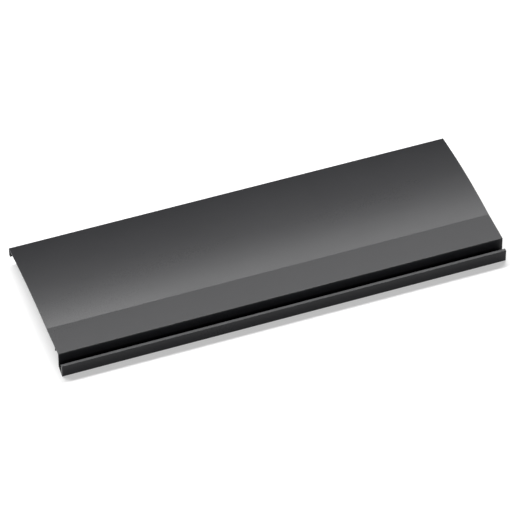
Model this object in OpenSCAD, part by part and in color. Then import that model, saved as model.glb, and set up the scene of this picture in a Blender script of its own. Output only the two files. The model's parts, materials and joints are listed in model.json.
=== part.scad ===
// Long fence capping: a hinged, arched cover over a frame of two rails and three carriers.
// X runs along the fence, +Y points to the back, +Z is up. The origin is the centre of
// the base. A section is drawn in Y and Z and then extruded along X.

/* [Cap cover] */
// Length of the cap along the fence
cap_l = 600; // [480:10:900]
// Depth of the cap from the hinge socket's back to the lip's front
cap_w = 218.6; // [216:0.2:222]
// Thickness of the cover's sheet
sheet_t = 1.6; // [1.4:0.1:1.8]
// Radius of the arched top
arch_r = 786; // [740:2:840]
// Distance of the arch's crest from the cap's back
crest_from_back = 103.7; // [100:0.1:106]
// Depth of the flat apron from the crease to the front wall
apron_w = 47.1; // [44:0.1:50]
// Height of the apron's top
apron_z = 28.4; // [28:0.1:29.5]

/* [Drip channel] */
// Thickness of the front lip
lip_t = 4.7; // [4.2:0.1:5.4]
// Height of the front lip's top
lip_z = 18.3; // [16:0.1:20]
// Clear width of the channel between the front wall and the lip
channel_w = 8.4; // [7:0.1:9]
// Fall of the channel's floor from the wall to the lip
channel_fall = 4.4; // [3:0.1:5]
// Radius of the lip's edges
lip_edge_r = 0.6; // [0.3:0.1:1]
// Gap between the lip's bottom and the surface that the cap stands on
bed_gap = 0.5; // [0.2:0.1:1]

/* [Hinge] */
// Height of the hinge axis
hinge_z = 14.6; // [14.2:0.1:15.2]
// Radius of the rail's round bead
bead_r = 2; // [1.8:0.1:2]
// Gap between the bead and the socket
bead_gap = 0.05; // [0.02:0.01:0.08]
// Wall of the hinge socket
socket_t = 1.55; // [1.4:0.05:1.6]
// Thickness of the neck that holds the bead
neck_t = 1.2; // [1:0.1:1.2]
// Rise of the neck above the level, away from the bead
neck_rise = 14; // [12:1:15]
// Largest opening angle of the cover
open_angle = 70; // [50:5:70]
// Angle left free beside the neck at each end of the swing
neck_play = 6; // [4:1:6]

/* [Landing leg] */
// Thickness of the landing leg
leg_t = 1.4; // [1.2:0.1:1.6]
// Height of the leg's end above the base
leg_end_z = 21.3; // [21:0.1:22]
// Distance from the leg to the front wall, centre to centre
leg_from_wall = 13.1; // [12.6:0.1:13.6]

/* [Carriers] */
// Width of a carrier along the fence
carrier_w = 40; // [36:1:60]
// Distance of the outer carriers' centres from the cap's ends
carrier_inset = 75; // [60:5:100]
// Thickness of the carriers' metal
carrier_t = 3; // [2.5:0.1:3]
// Distance from the cap's centre to the rear riser
riser_rear = 50; // [45:1:52]
// Distance from the cap's centre to the front riser
riser_front = 45; // [40:1:48]
// Distance from the cap's centre to each anchor hole
anchor_from_centre = 60; // [58:1:60]
// Radius of an anchor hole
anchor_r = 3.5; // [3:0.1:4]

/* [Rails] */
// Thickness of the rails' webs and feet
rail_t = 1.6; // [1.4:0.1:1.6]
// Distance that the rails stop short of each end of the cap
rail_inset = 20; // [15:1:30]
// Width of a rail's foot
rail_foot_w = 13; // [12:0.5:13]

/* [Rubber and plastic] */
// Thickness of the pads under the carriers
pad_t = 1.5; // [1:0.1:1.5]
// Thickness of the buffers under the arch
buffer_t = 2; // [1.5:0.1:2.2]
// Depth of a buffer, front to back
buffer_w = 12; // [8:1:16]
// Thickness of the strip that the cover's leg lands on
landing_t = 2.1; // [1.5:0.1:2.4]
// Length of a hinge plug
plug_l = 8; // [5:1:12]

/* [Clips and fasteners] */
// Thickness of a spring clip
clip_t = 0.8; // [0.6:0.1:1]
// Width of a spring clip
clip_w = 16; // [12:1:16]
// Radius of a rail screw
screw_r = 2; // [1.5:0.1:2]
// Radius of a rail screw's head
screw_head_r = 3.6; // [3:0.1:3.8]
// Distance of the rail screws from a carrier's centre
screw_from_centre = 14; // [13:1:15]
// Radius of a rivet
rivet_r = 1.6; // [1.2:0.1:1.6]

/* [Hidden] */
$fn = 48;

// Colours
charcoal = [0.15, 0.15, 0.16];
bare_aluminium = [0.70, 0.71, 0.72];
spring_steel = [0.62, 0.62, 0.60];
zinc = [0.75, 0.75, 0.74];
black_rubber = [0.06, 0.06, 0.06];
black_nylon = [0.05, 0.05, 0.055];

// Small distances
cut = 0.01;
rest_gap = 0.3;
landing_gap = 0.2;
plug_gap = 0.5;
hole_play = 0.2;
web_gap = 1.8;

// Facets on the long arch, fine enough to follow its true curve
arch_fn = 1440;

// Cover: the arch's centre, and the sheet's places along the section
back_y = cap_w / 2;
front_y = -cap_w / 2;
wall_y = front_y + lip_t + channel_w + sheet_t / 2;
crease_y = wall_y - sheet_t / 2 + apron_w;
crest_y = back_y - crest_from_back;
arch_z = apron_z - sqrt(pow(arch_r, 2) - pow(crest_y - crease_y, 2));
leg_y = wall_y + leg_from_wall;

// Hinge: the socket is open to the front and below, so that it clears the neck
socket_r = bead_r + bead_gap;
socket_out_r = socket_r + socket_t;
hinge_y = back_y - socket_out_r;
tip_r = socket_r + socket_t / 2;
tip_angle = asin(socket_t / 2 / tip_r);
neck_half_angle = asin(neck_t / 2 / socket_r);
neck_angle = 180 - neck_rise;
open_from = neck_angle - neck_half_angle - neck_play - tip_angle;
open_to = neck_angle + neck_half_angle + open_angle + neck_play + tip_angle;

// Frame: levels of the carriers and rails
flange_z = pad_t + carrier_t / 2;
rail_foot_z = pad_t + carrier_t + rail_t / 2;
rail_top_z = rail_foot_z + rail_t / 2;
buffer_top_r = arch_r - sheet_t - rest_gap;
bridge_top_r = buffer_top_r - buffer_t;
flange_rear_gap = 8.5;
flange_front_gap = 4;
flange_rear_y = back_y - flange_rear_gap;
flange_front_y = wall_y + flange_front_gap;
carrier_x = cap_l / 2 - carrier_inset;
rail_l = cap_l - 2 * rail_inset;

// Rear rail: web in front of the socket
rear_web_y = hinge_y - socket_out_r - web_gap - rail_t / 2;
rear_web_z = hinge_z + (hinge_y - rear_web_y) * tan(neck_rise);
rear_screw_offset = 2.4;
rear_screw_y = rear_web_y - rail_foot_w / 2 - rear_screw_offset;

// Front rail: web under the leg, with a ledge for the landing strip, set forward for the clip
ledge_shift = 1.2;
front_web_y = leg_y - ledge_shift;
ledge_z = leg_end_z - landing_gap - landing_t - rail_t / 2;
ledge_w = 5;
landing_w = 4;
front_screw_offset = 0.5;
front_screw_y = front_web_y + rail_foot_w / 2 + front_screw_offset;

// Clips: the nose stands behind the landing leg, and the mouth above it opens to the back
nose_rise = 1.6;
clip_tail = 3;
clip_knee = 1.4;
clip_waist = [3, -4];
clip_mouth = [2, 2];
rivet_offset = 1.2;
nose_y = leg_y + leg_t / 2 + rest_gap + clip_t / 2;
nose_z = leg_end_z + nose_rise;
rivet_y = front_screw_y + rivet_offset;
clip_foot_z = rail_top_z + clip_t / 2;

// Buffers: their distance from the risers and from the carrier's sides
buffer_from_riser = 10;
buffer_side = 2;

// Screw, washer and rivet proportions
washer_r = screw_head_r + 0.9;
washer_t = 0.8;
screw_head_h = 2.2;
screw_head_edge = 0.6;
screw_key_r = 1.4;
screw_key_depth = 1.3;
rivet_head_r = 2.5;
rivet_head_h = 1.1;

// Point on an arch of radius r about the cover's arch centre, at the place y
function on_arch(r, y) = [y, arch_z + sqrt(pow(r, 2) - pow(y - crest_y, 2))];

// Point at a distance and an angle from the hinge axis, in the section
function from_hinge(r, angle) = [hinge_y + r * cos(angle), hinge_z + r * sin(angle)];

// Bar of thickness t from point a to point b
module bar(a, b, t) {
    translate(a)
        rotate(atan2(b[1] - a[1], b[0] - a[0]))
            translate([0, -t / 2])
                square([norm(b - a), t]);
}

// Strip of thickness t along a line of points, round at its corners and ends
module strip(points, t) {
    for (i = [0 : len(points) - 1]) {
        translate(points[i]) circle(d = t);
        if (i > 0) bar(points[i - 1], points[i], t);
    }
}

// Curved strip between two radii of the arch, from y_a to y_b
module arch_strip(r_out, r_in, y_a, y_b) {
    intersection() {
        translate([crest_y, arch_z]) difference() {
            circle(r = r_out, $fn = arch_fn);
            circle(r = r_in, $fn = arch_fn);
        }
        translate([y_a, 0]) square([y_b - y_a, 2 * apron_z]);
    }
}

// Rectangle from corner a to corner b with round corners
module round_box(a, b, r) {
    translate([a[0] + r, a[1]]) square([b[0] - a[0] - 2 * r, b[1] - a[1]]);
    translate([a[0], a[1] + r]) square([b[0] - a[0], b[1] - a[1] - 2 * r]);
    for (y = [a[0] + r, b[0] - r], z = [a[1] + r, b[1] - r])
        translate([y, z]) circle(r = r);
}

// Extrudes a section along X, centred on the place x
module along_x(length, x = 0) {
    translate([x - length / 2, 0, 0])
        rotate([90, 0, 90])
            linear_extrude(length) children();
}

// Hinge socket: a ring with the neck's path cut away and round tips
module socket_section() {
    difference() {
        translate([hinge_y, hinge_z]) circle(r = socket_out_r);
        translate([hinge_y, hinge_z]) circle(r = socket_r);
        polygon(concat([[hinge_y, hinge_z]],
            [for (i = [0 : 4]) from_hinge(2 * socket_out_r,
                open_from + (open_to - open_from) * i / 4)]));
    }
    for (angle = [open_from, open_to])
        translate(from_hinge(tip_r, angle)) circle(d = socket_t);
}

// Arched top, back leg down to the socket, crease and apron
module top_section() {
    mid_r = arch_r - sheet_t / 2;
    back_corner = on_arch(mid_r, back_y - sheet_t / 2);
    crease = [crease_y, apron_z - sheet_t / 2];
    arch_strip(arch_r, arch_r - sheet_t, crease_y, back_corner[0]);
    difference() {
        strip([back_corner, [back_corner[0], hinge_z]], sheet_t);
        translate([hinge_y, hinge_z]) circle(r = socket_r);
    }
    strip([crease, [wall_y, crease[1]]], sheet_t);
}

// Front wall, sloping channel floor and lip
module channel_section() {
    lip_back_y = front_y + lip_t;
    floor_low = [front_y + lip_t / 2, bed_gap + sheet_t / 2];
    floor_high = [wall_y, floor_low[1] + channel_fall];
    strip([[wall_y, apron_z - sheet_t / 2], floor_high, floor_low], sheet_t);
    round_box([front_y, bed_gap], [lip_back_y, lip_z], lip_edge_r);
}

// Landing leg under the apron
module leg_section() {
    strip([[leg_y, apron_z - sheet_t], [leg_y, leg_end_z + leg_t / 2]], leg_t);
}

module cap_cover() {
    color(charcoal) along_x(cap_l) {
        socket_section();
        top_section();
        channel_section();
        leg_section();
    }
}

// Nylon plug in the socket, beyond the rail's end
module hinge_plug(side) {
    plug_x = side * (rail_l / 2 + plug_gap + plug_l / 2);
    color(black_nylon) along_x(plug_l, plug_x)
        translate([hinge_y, hinge_z]) circle(r = socket_r);
}

module hinge_plug_left() { hinge_plug(-1); }
module hinge_plug_right() { hinge_plug(1); }

// Vertical hole of radius r at the place (x, y), through the feet and pads
module foot_hole(x, y, r) {
    translate([x, y, -pad_t]) cylinder(r = r, h = rail_top_z + 2 * pad_t);
}

// The same hole at both screws of each carrier
module screw_holes(y, r) {
    for (x = [-carrier_x, 0, carrier_x], side = [-1, 1])
        foot_hole(x + side * screw_from_centre, y, r);
}

module rear_rail() {
    color(bare_aluminium) difference() {
        along_x(rail_l) {
            translate([hinge_y, hinge_z]) circle(r = bead_r);
            bar([hinge_y, hinge_z], [rear_web_y, rear_web_z], neck_t);
            strip([[rear_web_y, rear_web_z], [rear_web_y, rail_foot_z],
                [rear_web_y - rail_foot_w - rail_t, rail_foot_z]], rail_t);
        }
        screw_holes(rear_screw_y, screw_r + hole_play);
    }
}

module front_rail() {
    color(bare_aluminium) difference() {
        along_x(rail_l) {
            strip([[front_web_y + rail_foot_w, rail_foot_z], [front_web_y, rail_foot_z],
                [front_web_y, ledge_z]], rail_t);
            strip([[front_web_y - ledge_w / 2, ledge_z],
                [front_web_y + ledge_w / 2, ledge_z]], rail_t);
        }
        screw_holes(front_screw_y, screw_r + hole_play);
        for (x = [-carrier_x, 0, carrier_x])
            foot_hole(x, rivet_y, rivet_r);
    }
}

// Hat-shaped carrier: two flanges, two risers and a bridge that follows the arch
module carrier(x) {
    mid_r = bridge_top_r - carrier_t / 2;
    rear_top = on_arch(mid_r, riser_rear);
    front_top = on_arch(mid_r, -riser_front);
    color(bare_aluminium) difference() {
        along_x(carrier_w, x) {
            arch_strip(bridge_top_r, bridge_top_r - carrier_t, -riser_front, riser_rear);
            strip([rear_top, [riser_rear, flange_z], [flange_rear_y, flange_z]], carrier_t);
            strip([front_top, [-riser_front, flange_z], [flange_front_y, flange_z]],
                carrier_t);
        }
        for (side = [-1, 1]) {
            foot_hole(x, side * anchor_from_centre, anchor_r);
            for (y = [rear_screw_y, front_screw_y])
                foot_hole(x + side * screw_from_centre, y, screw_r);
        }
        foot_hole(x, rivet_y, rivet_r);
    }
}

module carrier_left() { carrier(-carrier_x); }
module carrier_centre() { carrier(0); }
module carrier_right() { carrier(carrier_x); }

// Spring clip: a foot under its rivet, a leaf, and a nose behind the landing leg
module clip(x) {
    color(spring_steel) difference() {
        along_x(clip_w, x)
            strip([[rivet_y + clip_tail, clip_foot_z], [nose_y + clip_knee, clip_foot_z],
                [nose_y, nose_z] + clip_waist, [nose_y, nose_z],
                [nose_y, nose_z] + clip_mouth], clip_t);
        foot_hole(x, rivet_y, rivet_r);
    }
}

module clip_left() { clip(-carrier_x); }
module clip_centre() { clip(0); }
module clip_right() { clip(carrier_x); }

// Two rubber strips on a carrier's bridge
module buffer(x) {
    color(black_rubber) along_x(carrier_w - 2 * buffer_side, x)
        for (y = [riser_rear - buffer_from_riser - buffer_w, buffer_from_riser - riser_front])
            arch_strip(buffer_top_r, bridge_top_r, y, y + buffer_w);
}

module buffer_left() { buffer(-carrier_x); }
module buffer_centre() { buffer(0); }
module buffer_right() { buffer(carrier_x); }

// Two rubber pads under a carrier's flanges, each with its anchor hole
module pads(x) {
    color(black_rubber) difference() {
        along_x(carrier_w, x) {
            translate([riser_rear, 0]) square([flange_rear_y - riser_rear, pad_t]);
            translate([flange_front_y, 0])
                square([-riser_front - flange_front_y, pad_t]);
        }
        for (side = [-1, 1])
            foot_hole(x, side * anchor_from_centre, anchor_r);
    }
}

module pads_left() { pads(-carrier_x); }
module pads_centre() { pads(0); }
module pads_right() { pads(carrier_x); }

module landing_strip() {
    low_z = ledge_z + rail_t / 2;
    color(black_rubber) along_x(rail_l)
        translate([front_web_y - landing_w / 2, low_z]) square([landing_w, landing_t]);
}

// Round-headed screw with a hexagonal key hole, seated on the washer
module screw(x, y) {
    seat_z = rail_top_z + washer_t;
    translate([x, y, seat_z]) difference() {
        union() {
            translate([0, 0, pad_t - seat_z]) cylinder(r = screw_r, h = seat_z - pad_t);
            cylinder(r = screw_head_r, h = screw_head_h - screw_head_edge);
            translate([0, 0, screw_head_h - screw_head_edge])
                cylinder(r1 = screw_head_r, r2 = screw_head_r - screw_head_edge,
                    h = screw_head_edge);
        }
        translate([0, 0, screw_head_h - screw_key_depth])
            cylinder(r = screw_key_r, h = 2 * screw_key_depth, $fn = 6);
    }
}

// Screws at both sides of each carrier's centre
module screw_row(y) {
    for (x = [-carrier_x, 0, carrier_x], side = [-1, 1])
        screw(x + side * screw_from_centre, y);
}

module rear_rail_screws() { color(zinc) screw_row(rear_screw_y); }
module front_rail_screws() { color(zinc) screw_row(front_screw_y); }

module rail_washers() {
    color(zinc)
        for (x = [-carrier_x, 0, carrier_x], side = [-1, 1], y = [rear_screw_y, front_screw_y])
            translate([x + side * screw_from_centre, y, rail_top_z]) difference() {
                cylinder(r = washer_r, h = washer_t);
                translate([0, 0, -cut]) cylinder(r = screw_r, h = washer_t + 2 * cut);
            }
}

// Domed rivet through each clip, the rail's foot and the carrier
module clip_rivets() {
    clip_top_z = rail_top_z + clip_t;
    dome_r = (pow(rivet_head_r, 2) + pow(rivet_head_h, 2)) / (2 * rivet_head_h);
    color(zinc)
        for (x = [-carrier_x, 0, carrier_x]) translate([x, rivet_y, 0]) {
            translate([0, 0, pad_t]) cylinder(r = rivet_r, h = clip_top_z - pad_t);
            intersection() {
                translate([0, 0, clip_top_z + rivet_head_h - dome_r]) sphere(r = dome_r);
                translate([0, 0, clip_top_z]) cylinder(r = dome_r, h = rivet_head_h);
            }
        }
}

cap_cover();
hinge_plug_left();
hinge_plug_right();
rear_rail();
front_rail();
carrier_left();
carrier_centre();
carrier_right();
clip_left();
clip_centre();
clip_right();
buffer_left();
buffer_centre();
buffer_right();
pads_left();
pads_centre();
pads_right();
landing_strip();
rear_rail_screws();
front_rail_screws();
rail_washers();
clip_rivets();
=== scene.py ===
import json
import math

import bmesh
import bpy
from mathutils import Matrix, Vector


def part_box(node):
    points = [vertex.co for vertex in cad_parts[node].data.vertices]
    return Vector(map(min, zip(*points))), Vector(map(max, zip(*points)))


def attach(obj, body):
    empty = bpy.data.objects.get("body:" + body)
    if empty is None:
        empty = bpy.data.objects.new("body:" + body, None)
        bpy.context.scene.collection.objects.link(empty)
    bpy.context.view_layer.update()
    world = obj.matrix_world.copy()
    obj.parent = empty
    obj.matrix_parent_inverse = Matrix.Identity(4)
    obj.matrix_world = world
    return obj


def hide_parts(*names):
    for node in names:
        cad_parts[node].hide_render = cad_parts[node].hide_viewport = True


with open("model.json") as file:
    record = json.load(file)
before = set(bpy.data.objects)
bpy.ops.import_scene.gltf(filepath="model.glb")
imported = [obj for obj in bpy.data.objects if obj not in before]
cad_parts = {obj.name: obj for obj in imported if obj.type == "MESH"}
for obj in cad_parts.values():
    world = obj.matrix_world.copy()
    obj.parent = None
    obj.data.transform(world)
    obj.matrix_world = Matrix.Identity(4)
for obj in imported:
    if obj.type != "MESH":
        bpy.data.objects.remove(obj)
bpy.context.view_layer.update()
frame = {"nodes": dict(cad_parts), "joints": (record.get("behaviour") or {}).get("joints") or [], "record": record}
MM = 0.001

# ---------------------------------------------------------------- camera
VIEW_AZIMUTH = -20.07
VIEW_ELEVATION = 44.93
VIEW_DISTANCE = 5.29
VIEW_LENS = 289
VIEW_REACH = 100
SENSOR = 36
# The point that the camera looks at, near the level of the cover's back edge
VIEW_TARGET = Vector((-0.006, -0.0162, 0.0235))


def direction(azimuth, elevation):
    """Unit vector from the object towards a place at that azimuth and elevation, in degrees."""
    a, e = math.radians(azimuth), math.radians(elevation)
    return Vector((math.sin(a) * math.cos(e), -math.cos(a) * math.cos(e), math.sin(e)))


def make_camera():
    data = bpy.data.cameras.new("camera")
    data.lens, data.sensor_width = VIEW_LENS, SENSOR
    data.clip_end = VIEW_REACH
    camera = bpy.data.objects.new("camera", data)
    bpy.context.scene.collection.objects.link(camera)
    back = direction(VIEW_AZIMUTH, VIEW_ELEVATION)
    camera.location = VIEW_TARGET + back * VIEW_DISTANCE
    camera.rotation_mode = "QUATERNION"
    camera.rotation_quaternion = (-back).to_track_quat("-Z", "Y")
    bpy.context.scene.camera = camera


make_camera()

# ---------------------------------------------------------------- light
bpy.context.scene.view_settings.view_transform = "Standard"

WORLD_RADIANCE = 0.07
# Softboxes that face the object: name, azimuth, elevation, distance, width, depth, radiance
SOFTBOXES = [
    ("softbox_high", 180, 60, 2.6, 4.4, 0.5, 23.8),
    ("softbox_middle", 180, 48, 2.6, 4.4, 0.5, 2.8),
    ("softbox_low", 180, 36, 2.6, 4.4, 0.5, 1.05),
    ("softbox_front", 0, 24, 2.4, 2.0, 0.8, 4.4),
]


def area_light(name, azimuth, elevation, distance, width, depth, radiance):
    data = bpy.data.lights.new(name, "AREA")
    data.shape, data.size, data.size_y = "RECTANGLE", width, depth
    data.energy = radiance * math.pi * width * depth
    light = bpy.data.objects.new(name, data)
    bpy.context.scene.collection.objects.link(light)
    towards = direction(azimuth, elevation)
    light.location = towards * distance
    light.rotation_mode = "QUATERNION"
    light.rotation_quaternion = (-towards).to_track_quat("-Z", "Y")
    light.visible_camera = False


def make_world(radiance):
    world = bpy.data.worlds.new("world")
    bpy.context.scene.world = world
    world.use_nodes = True
    world.node_tree.nodes["Background"].inputs["Color"].default_value = (1, 1, 1, 1)
    world.node_tree.nodes["Background"].inputs["Strength"].default_value = radiance


for softbox in SOFTBOXES:
    area_light(*softbox)
make_world(WORLD_RADIANCE)

# ---------------------------------------------------------------- material tools


class Finish:
    """A Principled material with short calls for the nodes that give it its detail."""

    def __init__(self, name, roughness, metallic=0.0, specular=0.5, anisotropy=0.0):
        self.material = bpy.data.materials.new(name)
        self.material.use_nodes = True
        self.tree = self.material.node_tree
        self.shader = self.tree.nodes["Principled BSDF"]
        self.set("Roughness", roughness)
        self.set("Metallic", metallic)
        self.set("Specular IOR Level", specular)
        self.set("Anisotropic", anisotropy)
        self.coordinates = self.tree.nodes.new("ShaderNodeTexCoord").outputs["Object"]

    def set(self, socket, value):
        self.shader.inputs[socket].default_value = value

    def use(self, socket, output):
        self.tree.links.new(output, self.shader.inputs[socket])

    def link(self, node, socket, value):
        """Gives a node's input a number or another node's output."""
        if isinstance(value, bpy.types.NodeSocket):
            self.tree.links.new(value, node.inputs[socket])
        else:
            node.inputs[socket].default_value = value

    def stretched(self, x, y, z):
        """The object's own coordinates in metres, times a scale along each axis."""
        node = self.tree.nodes.new("ShaderNodeVectorMath")
        node.operation = "MULTIPLY"
        self.tree.links.new(self.coordinates, node.inputs[0])
        node.inputs[1].default_value = (x, y, z)
        return node.outputs[0]

    def noise(self, scale, detail=3.0, x=1.0, y=1.0, z=1.0, roughness=0.5):
        """Noise from 0 to 1, at a scale of cells a metre."""
        node = self.tree.nodes.new("ShaderNodeTexNoise")
        self.tree.links.new(self.stretched(x, y, z), node.inputs["Vector"])
        node.inputs["Scale"].default_value = scale
        node.inputs["Detail"].default_value = detail
        node.inputs["Roughness"].default_value = roughness
        return node.outputs["Fac"]

    def cells(self, scale, output="Distance", randomness=1.0):
        node = self.tree.nodes.new("ShaderNodeTexVoronoi")
        self.tree.links.new(self.coordinates, node.inputs["Vector"])
        node.inputs["Scale"].default_value = scale
        node.inputs["Randomness"].default_value = randomness
        return node.outputs[output]

    def ramp(self, value, low, high, to_low=0.0, to_high=1.0):
        """Maps low..high to to_low..to_high with soft ends, and holds it outside."""
        node = self.tree.nodes.new("ShaderNodeMapRange")
        node.interpolation_type = "SMOOTHSTEP"
        self.link(node, "Value", value)
        for socket, number in zip(("From Min", "From Max", "To Min", "To Max"),
                                  (low, high, to_low, to_high)):
            node.inputs[socket].default_value = number
        return node.outputs["Result"]

    def maths(self, operation, a, b):
        node = self.tree.nodes.new("ShaderNodeMath")
        node.operation = operation
        self.link(node, 0, a)
        self.link(node, 1, b)
        return node.outputs[0]

    def mix(self, factor, a, b):
        """Mixes two colours, each a tuple or another node's output."""
        node = self.tree.nodes.new("ShaderNodeMix")
        node.data_type = "RGBA"
        self.link(node, 0, factor)
        for socket, value in ((6, a), (7, b)):
            self.link(node, socket, (*value, 1) if isinstance(value, tuple) else value)
        return node.outputs[2]

    def bump(self, height, depth, strength=1.0, under=None):
        """Bump of that depth in metres, over another bump if one is given."""
        node = self.tree.nodes.new("ShaderNodeBump")
        node.inputs["Strength"].default_value = strength
        node.inputs["Distance"].default_value = depth
        self.tree.links.new(height, node.inputs["Height"])
        if under is not None:
            self.tree.links.new(under, node.inputs["Normal"])
        return node.outputs["Normal"]

    def edge(self):
        """1 along the piece's convex edges and 0 away from them, stored on its mesh."""
        node = self.tree.nodes.new("ShaderNodeAttribute")
        node.attribute_name = EDGE
        return node.outputs["Fac"]


EDGE = "edge"

# ---------------------------------------------------------------- materials
COAT_DARK = (0.0088, 0.0089, 0.0102)
COAT_LIGHT = (0.0123, 0.0124, 0.0140)
COAT_RUBBED = (0.026, 0.027, 0.029)
COAT_DUST = (0.112, 0.110, 0.103)
COAT_SPECULAR = 0.162


def charcoal_coating():
    """Satin powder coating: fine orange peel, faint rub marks, lighter where edges are rubbed."""
    f = Finish("charcoal_coating", 0.3, specular=COAT_SPECULAR)
    tone = f.mix(f.noise(14, 4), COAT_DARK, COAT_LIGHT)
    rubbed = f.maths("MULTIPLY", f.edge(), f.ramp(f.noise(55, 5), 0.45, 0.7, 0.1, 0.75))
    tone = f.mix(rubbed, tone, COAT_RUBBED)
    specks = f.ramp(f.cells(260), 0.05, 0.09, 0.35, 0.0)
    scattered = f.maths("MULTIPLY", specks, f.ramp(f.noise(30, 2), 0.55, 0.7))
    f.use("Base Color", f.mix(scattered, tone, COAT_DUST))
    smears = f.ramp(f.noise(9, 4, x=0.35), 0.3, 0.7, 0.275, 0.325)
    grain = f.ramp(f.noise(900, 2), 0.3, 0.7, -0.012, 0.012)
    worn = f.maths("MULTIPLY", rubbed, 0.05)
    f.use("Roughness", f.maths("ADD", f.maths("ADD", smears, grain), worn))
    peel = f.bump(f.noise(700, 2), 0.006 * MM)
    f.use("Normal", f.bump(f.noise(2600, 2), 0.0015 * MM, under=peel))
    return f.material


def bare_aluminium():
    """Mill-finish extrusion: die lines along X, dull clouds and a few scuffs."""
    f = Finish("bare_aluminium", 0.4, metallic=1.0, anisotropy=0.35)
    lines = f.noise(1500, 4, x=0.004)
    clouds = f.noise(22, 4)
    tone = f.mix(lines, (0.56, 0.57, 0.58), (0.74, 0.745, 0.75))
    f.use("Base Color", f.mix(f.ramp(clouds, 0.4, 0.75, 0.0, 0.35), tone, (0.50, 0.51, 0.52)))
    scuffs = f.ramp(f.noise(120, 5, y=0.15), 0.62, 0.72, 0.0, 0.12)
    dull = f.ramp(clouds, 0.3, 0.7, 0.34, 0.5)
    f.use("Roughness", f.maths("ADD", dull, scuffs))
    f.use("Normal", f.bump(lines, 0.008 * MM))
    return f.material


def spring_steel():
    """Stainless strip, brushed along its length and a little brighter at its edges."""
    f = Finish("spring_steel", 0.28, metallic=1.0, anisotropy=0.5)
    brushed = f.noise(2400, 3, x=1.0, y=0.03, z=0.03)
    tone = f.mix(brushed, (0.50, 0.50, 0.48), (0.66, 0.66, 0.64))
    f.use("Base Color", f.mix(f.maths("MULTIPLY", f.edge(), 0.4), tone, (0.78, 0.78, 0.77)))
    f.use("Roughness", f.ramp(f.noise(160, 3), 0.3, 0.7, 0.22, 0.34))
    f.use("Normal", f.bump(brushed, 0.004 * MM))
    return f.material


def zinc_plate():
    """Zinc plating: fine crystals, a cool cast with a faint warm bloom, brighter rubbed edges."""
    f = Finish("zinc_plate", 0.34, metallic=1.0)
    crystals = f.cells(1400, "Color")
    tone = f.mix(f.noise(240, 3), (0.60, 0.62, 0.65), (0.72, 0.71, 0.66))
    tone = f.mix(f.maths("MULTIPLY", crystals, 0.25), tone, (0.80, 0.81, 0.83))
    f.use("Base Color", f.mix(f.maths("MULTIPLY", f.edge(), 0.5), tone, (0.86, 0.87, 0.88)))
    f.use("Roughness", f.ramp(f.noise(400, 3), 0.3, 0.7, 0.26, 0.42))
    f.use("Normal", f.bump(f.noise(3200, 2), 0.004 * MM))
    return f.material


def black_rubber():
    """Extruded rubber: matte, with a fine grain, pale bloom in patches and dusty edges."""
    f = Finish("black_rubber", 0.72, specular=0.35)
    bloom = f.ramp(f.noise(70, 4), 0.45, 0.75, 0.0, 0.5)
    tone = f.mix(bloom, (0.011, 0.011, 0.012), (0.034, 0.033, 0.031))
    f.use("Base Color", f.mix(f.maths("MULTIPLY", f.edge(), 0.35), tone, (0.06, 0.058, 0.055)))
    f.use("Roughness", f.ramp(f.noise(300, 3), 0.3, 0.7, 0.62, 0.84))
    coarse = f.bump(f.noise(900, 3), 0.03 * MM)
    f.use("Normal", f.bump(f.noise(300, 3, x=0.02), 0.02 * MM, under=coarse))
    return f.material


def nylon():
    """Moulded black nylon: faintly cloudy and lightly grained."""
    f = Finish("nylon", 0.42)
    f.use("Base Color", f.mix(f.noise(180, 3), (0.012, 0.012, 0.013), (0.022, 0.022, 0.023)))
    f.use("Roughness", f.ramp(f.noise(500, 3), 0.3, 0.7, 0.36, 0.52))
    f.use("Normal", f.bump(f.noise(2000, 2), 0.01 * MM))
    return f.material


FINISHES = {make.__name__: make() for make in (charcoal_coating, bare_aluminium, spring_steel,
                                               zinc_plate, black_rubber, nylon)}

# ---------------------------------------------------------------- mesh tools
# Largest turn between two points of a rounded corner
ARC_STEP = math.radians(15)
# Distance of a guard point from the end of its arc
GUARD = 1.0 * MM
# Points of an outline nearer than this count as one
SHORTEST = 0.06 * MM
# Radii below this close the end of a lathed piece
TINY = 1e-9
# Turns of the quarter round between a cut end and the sides
RIM_TURNS = (0, 30, 60, 90)


def ring_arc(centre, radius, start, end, step=10):
    """Points without a corner radius, along an arc from start to end in degrees."""
    count = max(2, round(abs(end - start) / step))
    angles = [math.radians(start + (end - start) * i / count) for i in range(count + 1)]
    return [(centre[0] + radius * math.cos(a), centre[1] + radius * math.sin(a), 0)
            for a in angles]


def rounded(points):
    """Turns a closed outline of (y, z, corner radius), drawn clockwise, into (y, z, edge).

    Each corner with a radius becomes an arc. Edge is 1 on a convex arc and 0 elsewhere, and a
    guard point beside the arc keeps it from spreading over the flat. Points that nearly
    coincide become one, so that an inset of the outline never crosses itself."""
    places = [Vector(p[:2]) for p in points]
    outline = []
    for i, (y, z, radius) in enumerate(points):
        p = places[i]
        if radius == 0:
            outline.append((y, z, 0.0))
            continue
        before = places[i - 1] - p
        after = places[(i + 1) % len(places)] - p
        u, v = before.normalized(), after.normalized()
        half = u.angle(v) / 2
        reach = radius / math.tan(half)
        centre = p + (u + v).normalized() * radius / math.sin(half)
        convex = 1.0 if u.x * v.y - u.y * v.x > 0 else 0.0
        turn = math.pi - 2 * half
        first = p + u * reach - centre
        start = math.atan2(first.y, first.x)
        way = -turn if convex else turn
        count = max(2, math.ceil(turn / ARC_STEP))
        if convex and before.length > 3 * (reach + GUARD):
            guard = p + u * (reach + GUARD)
            outline.append((guard.x, guard.y, 0.0))
        for k in range(count + 1):
            a = start + way * k / count
            outline.append((centre.x + radius * math.cos(a), centre.y + radius * math.sin(a),
                            convex))
        if convex and after.length > 3 * (reach + GUARD):
            guard = p + v * (reach + GUARD)
            outline.append((guard.x, guard.y, 0.0))
    return [p for i, p in enumerate(outline) if math.dist(p[:2], outline[i - 1][:2]) > SHORTEST]


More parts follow.
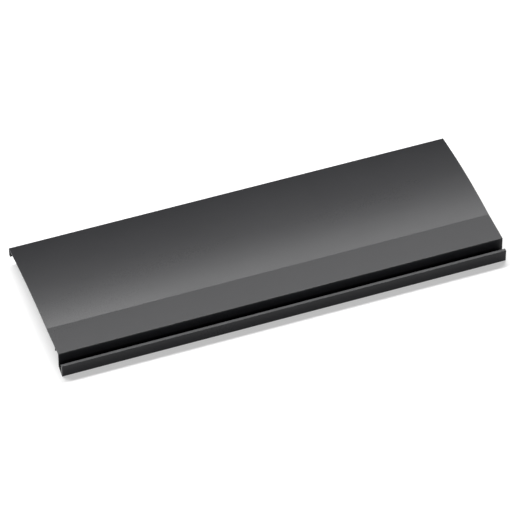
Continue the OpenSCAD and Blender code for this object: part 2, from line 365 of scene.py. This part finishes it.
def outward(outline):
    """The outward normal at each point of a clockwise outline, led by its longer side."""
    normals = []
    for i, here in enumerate(outline):
        total = Vector((0, 0))
        for a, b in ((outline[i - 1], here), (here, outline[(i + 1) % len(outline)])):
            total += Vector((a[1] - b[1], b[0] - a[0]))
        normals.append(total.normalized())
    return normals


def finish_piece(name, bm, slot, body, nodes):
    """Makes the mesh an object that rides on its body and stands for its CAD nodes."""
    bmesh.ops.recalc_face_normals(bm, faces=bm.faces)
    mesh = bpy.data.meshes.new(name)
    bm.to_mesh(mesh)
    bm.free()
    mesh.shade_smooth()
    mesh.materials.append(FINISHES[slot])
    piece = bpy.data.objects.new(name, mesh)
    bpy.context.scene.collection.objects.link(piece)
    add_normals(piece)
    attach(piece, body)
    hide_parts(*nodes)
    return piece


def add_normals(piece):
    """Shades flats flat and rounded edges smooth."""
    modifier = piece.modifiers.new("normals", "WEIGHTED_NORMAL")
    modifier.keep_sharp = True
    modifier.weight = 100


def add_extrusion(bm, outline, x_low, x_high, bevel):
    """Extrudes an outline along X between two flat ends with rounded edges."""
    edge_layer = bm.verts.layers.float.get(EDGE) or bm.verts.layers.float.new(EDGE)
    normals = outward(outline)
    turns = [math.radians(a) for a in RIM_TURNS]
    # Distance from the cut end, inset of the outline, and wear
    rim = [(bevel * (1 - math.cos(a)), bevel * (1 - math.sin(a)), 1.0) for a in turns]
    rim.append((bevel + GUARD, 0.0, 0.0))
    stations = [(x_low + depth, inset, worn) for depth, inset, worn in rim]
    stations += [(x_high - depth, inset, worn) for depth, inset, worn in reversed(rim)]
    rings = []
    for x, inset, worn in stations:
        ring = []
        for (y, z, edge), normal in zip(outline, normals):
            vert = bm.verts.new((x, y - normal.x * inset, z - normal.y * inset))
            vert[edge_layer] = max(edge, worn)
            ring.append(vert)
        rings.append(ring)
    count = len(outline)
    for near, far in zip(rings, rings[1:]):
        for i in range(count):
            j = (i + 1) % count
            bm.faces.new((near[i], near[j], far[j], far[i]))
    bm.faces.new(rings[0])
    bm.faces.new(rings[-1])


def band(points, thickness, bend):
    """Outline of a strip bent along a line of points, with bend as its inner bend radius."""
    places = [Vector(p) for p in points]
    ways = [(b - a).normalized() for a, b in zip(places, places[1:])]
    sides = {1: [], -1: []}
    for i, p in enumerate(places):
        into, out = ways[max(i - 1, 0)], ways[min(i, len(ways) - 1)]
        mitre = (Vector((-into.y, into.x)) + Vector((-out.y, out.x))).normalized()
        reach = thickness / 2 / mitre.dot(Vector((-into.y, into.x)))
        turn = into.x * out.y - into.y * out.x
        for side in sides:
            radius = bend if turn * side > 0 else bend + thickness
            if 0 < i < len(places) - 1:
                corner_radius = radius
            else:
                corner_radius = 0.3 * thickness
            place = p + mitre * reach * side
            sides[side].append((place.x, place.y, corner_radius))
    return sides[1] + sides[-1][::-1]


def add_lathe(bm, centre, axis, profile, closed=False, count=48):
    """Turns a profile of (radius, height, edge) about an axis; radius 0 closes an end.

    A fourth value of True makes that ring a hexagon with the radius to its corners."""
    edge_layer = bm.verts.layers.float.get(EDGE) or bm.verts.layers.float.new(EDGE)
    side = axis.orthogonal().normalized()
    other = axis.cross(side)
    rings = []
    for radius, height, edge, *hexagon in profile:
        ring = []
        for k in range(1 if radius < TINY else count):
            a = 2 * math.pi * k / count
            reach = radius * (hexagon_reach(a) if hexagon else 1)
            out = side * math.cos(a) + other * math.sin(a)
            vert = bm.verts.new(centre + axis * height + out * reach)
            vert[edge_layer] = edge
            ring.append(vert)
        rings.append(ring)
    join_rings(bm, rings + rings[:1] if closed else rings)


def hexagon_reach(angle):
    """Distance to the side of a hexagon whose corners are at 1."""
    sixth = math.pi / 3
    return math.cos(sixth / 2) / math.cos(angle % sixth - sixth / 2)


def join_rings(bm, rings):
    for near, far in zip(rings, rings[1:]):
        for k in range(max(len(near), len(far))):
            corners = [near[k % len(near)], near[(k + 1) % len(near)],
                       far[(k + 1) % len(far)], far[k % len(far)]]
            face = [v for n, v in enumerate(corners) if v not in corners[:n]]
            bm.faces.new(face)


# ---------------------------------------------------------------- cover
# The section's sizes, as the CAD cover has them
SHEET_T = 1.6 * MM
ARCH_R = 786 * MM
CREST_FROM_BACK = 103.7 * MM
APRON_W = 47.1 * MM
APRON_Z = 28.4 * MM
LIP_T = 4.7 * MM
LIP_Z = 18.3 * MM
CHANNEL_W = 8.4 * MM
CHANNEL_FALL = 4.4 * MM
LEG_T = 1.4 * MM
LEG_END_Z = 21.3 * MM
LEG_FROM_WALL = 13.1 * MM
SOCKET_R = 2.05 * MM
SOCKET_T = 1.55 * MM
# Angles about the hinge, in degrees, between which the socket is open
SOCKET_OPEN = (127.1, 274.9)

# Radii of the section's corners
OUTER_R = 0.8 * MM
LIP_R = 0.6 * MM
ROOT_R = 0.5 * MM
SMALL_R = 0.25 * MM
CREASE_R = 3 * MM
LEG_END_R = 0.49 * LEG_T
CUT_BEVEL = 0.2 * MM
# Distance of the arch's first and last points from the corners beside them
ARCH_MARGIN = 2 * MM

low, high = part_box("cap_cover")
HALF_L = high.x
BACK_Y = high.y
FRONT_Y = low.y
BED_Z = low.z
HINGE_Y, HINGE_Z = frame["joints"][0]["pos_m"][1:]

LIP_BACK_Y = FRONT_Y + LIP_T
EDGE_Y = LIP_BACK_Y + CHANNEL_W
WALL_Y = EDGE_Y + SHEET_T / 2
CREASE_Y = EDGE_Y + APRON_W
LEG_Y = WALL_Y + LEG_FROM_WALL
CREST_Y = BACK_Y - CREST_FROM_BACK
ARCH_Z = APRON_Z - math.sqrt(ARCH_R**2 - (CREST_Y - CREASE_Y)**2)


def on_arch(radius, y):
    return ARCH_Z + math.sqrt(radius**2 - (y - CREST_Y)**2)


def arch_points(radius, y_from, y_to, count=40):
    places = [y_from + (y_to - y_from) * i / count for i in range(count + 1)]
    return [(y, on_arch(radius, y), 0) for y in places]


def cover_outline():
    """The cover's section, clockwise from the lip's front bottom corner."""
    slope = CHANNEL_FALL / (WALL_Y - FRONT_Y - LIP_T / 2)
    lift = SHEET_T / 2 * math.sqrt(1 + slope**2)
    floor_z = BED_Z + SHEET_T / 2

    def on_floor(y, side):
        return floor_z + slope * (y - FRONT_Y - LIP_T / 2) + side * lift

    inner_r = ARCH_R - SHEET_T
    inner_back = BACK_Y - SHEET_T
    ring_r = SOCKET_R + SOCKET_T
    hinge = (HINGE_Y, HINGE_Z)
    # The root between the socket's ring and the back wall touches the ring at this angle
    root = math.acos((inner_back - ROOT_R - HINGE_Y) / (ring_r + ROOT_R))
    root_y = HINGE_Y + ring_r * math.cos(root)
    root_z = HINGE_Z + ring_r * math.sin(root) - (inner_back - root_y) / math.tan(root)
    under = APRON_Z - SHEET_T
    leg_back, leg_front = LEG_Y + LEG_T / 2, LEG_Y - LEG_T / 2
    wall_back = WALL_Y + SHEET_T / 2
    points = [
        (FRONT_Y, BED_Z, LIP_R),
        (FRONT_Y, LIP_Z, LIP_R),
        (LIP_BACK_Y, LIP_Z, LIP_R),
        (LIP_BACK_Y, on_floor(LIP_BACK_Y, 1), ROOT_R),
        (EDGE_Y, on_floor(EDGE_Y, 1), ROOT_R),
        (EDGE_Y, APRON_Z, OUTER_R),
        (CREASE_Y, APRON_Z, CREASE_R),
    ]
    points += arch_points(ARCH_R, CREASE_Y + ARCH_MARGIN, BACK_Y - ARCH_MARGIN)
    points += [(BACK_Y, on_arch(ARCH_R, BACK_Y), OUTER_R)]
    points += ring_arc(hinge, ring_r, 0, SOCKET_OPEN[1] - 360)
    points += tip(SOCKET_OPEN[1] - 360, -1)
    points += ring_arc(hinge, SOCKET_R, SOCKET_OPEN[1] - 360, SOCKET_OPEN[0])
    points += tip(SOCKET_OPEN[0], 1)
    points += ring_arc(hinge, ring_r, SOCKET_OPEN[0], math.degrees(root))
    points += [
        (inner_back, root_z, ROOT_R),
        (inner_back, on_arch(inner_r, inner_back), ROOT_R),
    ]
    points += arch_points(inner_r, inner_back - ARCH_MARGIN, CREASE_Y + ARCH_MARGIN)
    points += [
        (CREASE_Y, under, CREASE_R),
        (leg_back, under, ROOT_R),
        (leg_back, LEG_END_Z, LEG_END_R),
        (leg_front, LEG_END_Z, LEG_END_R),
        (leg_front, under, ROOT_R),
        (wall_back, under, ROOT_R),
        (wall_back, on_floor(wall_back, -1), OUTER_R),
        (LIP_BACK_Y, on_floor(LIP_BACK_Y, -1), SMALL_R),
        (LIP_BACK_Y, BED_Z, SMALL_R),
    ]
    return rounded(points)


def tip(angle, way):
    """Round end of the socket's wall, at an angle about the hinge."""
    a = math.radians(angle)
    middle = SOCKET_R + SOCKET_T / 2
    centre = (HINGE_Y + middle * math.cos(a), HINGE_Z + middle * math.sin(a))
    start = angle if way < 0 else angle + 180
    return ring_arc(centre, SOCKET_T / 2, start, start - 180, 20)[1:-1]


def make_cover():
    bm = bmesh.new()
    add_extrusion(bm, cover_outline(), -HALF_L, HALF_L, CUT_BEVEL)
    finish_piece("cover_profile", bm, "charcoal_coating", "cover", ["cap_cover"])


make_cover()

# ---------------------------------------------------------------- rubber
SIDES = ("left", "centre", "right")
BUFFER_GAP = 0.3 * MM
BUFFER_T = 2.0 * MM
BUFFER_W = 12 * MM
BUFFER_RIBS = 5
LANDING_RIBS = 3
RUBBER_BEVEL = 0.2 * MM


def ribbed_outline(y_low, y_high, bottom, top, groove, ribs):
    """A strip's section with ribs along its top; bottom and top give the height at a place."""
    pitch = (y_high - y_low) / ribs
    gap = 0.4 * pitch
    points = [(y_low, bottom(y_low), 0.3 * groove)]
    for i in range(ribs):
        left = y_low + i * pitch + (gap / 2 if i else 0)
        right = y_low + (i + 1) * pitch - (gap / 2 if i < ribs - 1 else 0)
        if i:
            points.append((left, top(left) - groove, 0.3 * groove))
        points += [(left, top(left), 0.35 * groove), (right, top(right), 0.35 * groove)]
        if i < ribs - 1:
            points.append((right, top(right) - groove, 0.3 * groove))
    points.append((y_high, bottom(y_high), 0.3 * groove))
    return rounded(points)


def make_buffer(side):
    """Two ribbed strips on a carrier's bridge, which follow the arch."""
    node = "buffer_" + side
    low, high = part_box(node)
    top_r = ARCH_R - SHEET_T - BUFFER_GAP
    bm = bmesh.new()
    for y in (low.y, high.y - BUFFER_W):
        outline = ribbed_outline(y, y + BUFFER_W, lambda at: on_arch(top_r - BUFFER_T, at),
                                 lambda at: on_arch(top_r, at), 0.8 * MM, BUFFER_RIBS)
        add_extrusion(bm, outline, low.x, high.x, RUBBER_BEVEL)
    finish_piece("buffer_strips_" + side, bm, "black_rubber", "frame", [node])


def make_landing_strip():
    low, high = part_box("landing_strip")
    outline = ribbed_outline(low.y, high.y, lambda at: low.z, lambda at: high.z, 0.6 * MM,
                             LANDING_RIBS)
    bm = bmesh.new()
    add_extrusion(bm, outline, low.x, high.x, RUBBER_BEVEL)
    finish_piece("landing_ribs", bm, "black_rubber", "frame", ["landing_strip"])


for side in SIDES:
    make_buffer(side)
make_landing_strip()

# ---------------------------------------------------------------- clips, screws and plugs
CLIP_T = 0.8 * MM
CLIP_BEND = 0.7 * MM
CLIP_KNEE = 1.4 * MM
CLIP_WAIST = Vector((3, -4)) * MM
CLIP_MOUTH = Vector((2, 2)) * MM
STEEL_BEVEL = 0.12 * MM
UP = Vector((0, 0, 1))


def make_clip(side):
    """A bent leaf: foot, knee, waist, nose behind the landing leg, and a mouth."""
    node = "clip_" + side
    low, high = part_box(node)
    foot_z = low.z + CLIP_T / 2
    nose = Vector((low.y + CLIP_T / 2, high.z - CLIP_T / 2 - CLIP_MOUTH.y))
    line = [(high.y - CLIP_T / 2, foot_z), (nose.x + CLIP_KNEE, foot_z), nose + CLIP_WAIST,
            nose, nose + CLIP_MOUTH]
    bm = bmesh.new()
    add_extrusion(bm, rounded(band(line, CLIP_T, CLIP_BEND)), low.x, high.x, STEEL_BEVEL)
    finish_piece("clip_leaf_" + side, bm, "spring_steel", "frame", [node])


for side in SIDES:
    make_clip(side)

HEAD_R = 3.6 * MM
HEAD_H = 2.2 * MM
HEAD_SIDE = 0.5 * MM
SHANK_R = 2.0 * MM
KEY_R = 1.4 * MM
KEY_DEPTH = 1.3 * MM
HEAD_FLAT_R = 1.3 * KEY_R
WASHER_R = 4.5 * MM
WASHER_T = 0.8 * MM
SOFT = 0.12 * MM


def carrier_centres():
    return [sum(corner.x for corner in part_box("carrier_" + side)) / 2 for side in SIDES]


def screw_places(node, head_r):
    """The screws' places along X, from the outermost one in a node."""
    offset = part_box(node)[1].x - head_r - max(carrier_centres())
    return [x + way * offset for x in carrier_centres() for way in (-1, 1)]


def dome(radius, side_z, top_r, top_z, count=6):
    """Profile points of a button head, from its side up to the flat round its middle."""
    points = []
    for i in range(count + 1):
        a = math.pi / 2 * i / count
        points.append((top_r + (radius - top_r) * math.cos(a),
                       side_z + (top_z - side_z) * math.sin(a), 0.6 if i == 0 else 0.0))
    return points


def screw_profile(shank):
    """Shank, button head and hexagonal key hole; heights are from the head's seat."""
    profile = [(0, -shank, 0.0), (SHANK_R - 2 * SOFT, -shank, 0.0),
               (SHANK_R, 2 * SOFT - shank, 0.0), (SHANK_R, 0, 0.0), (HEAD_R - SOFT, 0, 0.0),
               (HEAD_R, SOFT, 1.0)]
    profile += dome(HEAD_R, HEAD_SIDE, HEAD_FLAT_R, HEAD_H)
    profile += [(KEY_R + SOFT, HEAD_H, 0.8, True), (KEY_R, HEAD_H - SOFT, 0.8, True),
                (KEY_R, HEAD_H - KEY_DEPTH, 0.0, True), (0, HEAD_H - KEY_DEPTH - 3 * SOFT, 0.0)]
    return profile


def make_screws(node):
    low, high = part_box(node)
    seat_z = high.z - HEAD_H
    bm = bmesh.new()
    for x in screw_places(node, HEAD_R):
        centre = Vector((x, (low.y + high.y) / 2, seat_z))
        add_lathe(bm, centre, UP, screw_profile(seat_z - low.z))
    finish_piece(node + "_turned", bm, "zinc_plate", "frame", [node])


def make_washers():
    node = "rail_washers"
    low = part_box(node)[0]
    profile = [(SHANK_R + SOFT, 0, 0.0), (WASHER_R - SOFT, 0, 0.0), (WASHER_R, SOFT, 0.6),
               (WASHER_R, WASHER_T - 2 * SOFT, 0.6), (WASHER_R - 2 * SOFT, WASHER_T, 1.0),
               (SHANK_R + SOFT, WASHER_T, 0.0)]
    bm = bmesh.new()
    for screws in ("rear_rail_screws", "front_rail_screws"):
        y = sum(corner.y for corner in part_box(screws)) / 2
        for x in screw_places(node, WASHER_R):
            add_lathe(bm, Vector((x, y, low.z)), UP, profile, closed=True)
    finish_piece("washers_turned", bm, "zinc_plate", "frame", [node])


RIVET_R = 1.6 * MM
RIVET_HEAD_R = 2.5 * MM
RIVET_HEAD_H = 1.1 * MM
MANDREL_R = 0.75 * MM


def make_rivets():
    """Blind rivets: a thin domed flange with the broken mandrel sunk in its middle."""
    node = "clip_rivets"
    low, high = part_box(node)
    seat_z = high.z - RIVET_HEAD_H
    profile = [(0, low.z - seat_z, 0.0), (RIVET_R, low.z - seat_z, 0.0), (RIVET_R, 0, 0.0),
               (RIVET_HEAD_R - SOFT, 0, 0.0)]
    profile += dome(RIVET_HEAD_R, SOFT, MANDREL_R + SOFT, RIVET_HEAD_H)
    profile += [(MANDREL_R, RIVET_HEAD_H - SOFT, 0.8), (MANDREL_R, RIVET_HEAD_H / 2, 0.0),
                (MANDREL_R / 2, RIVET_HEAD_H / 2 + SOFT, 0.0), (0, RIVET_HEAD_H / 2 + SOFT, 0.0)]
    bm = bmesh.new()
    for x in carrier_centres():
        add_lathe(bm, Vector((x, (low.y + high.y) / 2, seat_z)), UP, profile)
    finish_piece("rivets_domed", bm, "zinc_plate", "frame", [node])


PLUG_PLAY = 0.04 * MM
PLUG_EDGE = 0.35 * MM
GATE_R = 0.6 * MM


def make_plug(side):
    """A turned nylon plug with chamfered ends, and a sunk gate mark in its outer end."""
    node = "hinge_plug_" + side
    low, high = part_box(node)
    way = 1 if side == "right" else -1
    length, radius = high.x - low.x, SOCKET_R - PLUG_PLAY
    start = Vector((low.x if side == "right" else high.x, HINGE_Y, HINGE_Z))
    profile = [(0, 0, 0.0), (radius - PLUG_EDGE, 0, 0.0), (radius, PLUG_EDGE, 0.0),
               (radius, length - PLUG_EDGE, 0.0), (radius - PLUG_EDGE, length, 0.0),
               (GATE_R + SOFT, length, 0.0), (GATE_R, length - SOFT, 0.0),
               (GATE_R, length - 3 * SOFT, 0.0), (0, length - 2 * SOFT, 0.0)]
    bm = bmesh.new()
    add_lathe(bm, start, Vector((way, 0, 0)), profile)
    finish_piece("plug_" + side, bm, "nylon", "cover", [node])


make_screws("rear_rail_screws")
make_screws("front_rail_screws")
make_washers()
make_rivets()
make_plug("left")
make_plug("right")

# ---------------------------------------------------------------- CAD nodes that stay
SLOTS = {p["node"]: p["material_slot"] for p in frame["record"]["subparts"]}
STAY_BEVEL = 0.18 * MM
# Only edges that turn by more than this are broken, so the facets of curves stay whole
STAY_ANGLE = math.radians(40)
WELD_REACH = 0.001 * MM
STAYING = ["rear_rail", "front_rail"]
STAYING += [kind + side for kind in ("carrier_", "pads_") for side in SIDES]


def soften(node):
    """Breaks a CAD node's sharp edges and evens its normals; its own mesh isn't changed."""
    weld = node.modifiers.new("weld", "WELD")
    weld.merge_threshold = WELD_REACH
    bevel = node.modifiers.new("bevel", "BEVEL")
    bevel.width = STAY_BEVEL
    bevel.segments = 2
    bevel.angle_limit = STAY_ANGLE
    bevel.use_clamp_overlap = True
    add_normals(node)


for name, node in frame["nodes"].items():
    node.data.materials.clear()
    node.data.materials.append(FINISHES[SLOTS[name]])
for name in STAYING:
    soften(frame["nodes"][name])

# ---------------------------------------------------------------- floor
FLOOR_SIZE = 12
FLOOR_ALBEDO = 0.5
# Radiance that the floor gives off itself, which lightens the contact shadow
FLOOR_GLOW = 0.4
FLOOR_ROUGHNESS = 0.9


def make_floor():
    bpy.ops.mesh.primitive_plane_add(size=FLOOR_SIZE)
    floor = bpy.context.object
    floor.name = "floor"
    f = Finish("floor", FLOOR_ROUGHNESS)
    f.set("Base Color", (FLOOR_ALBEDO, FLOOR_ALBEDO, FLOOR_ALBEDO, 1))
    f.set("Emission Color", (1, 1, 1, 1))
    f.set("Emission Strength", FLOOR_GLOW)
    floor.data.materials.append(f.material)


make_floor()
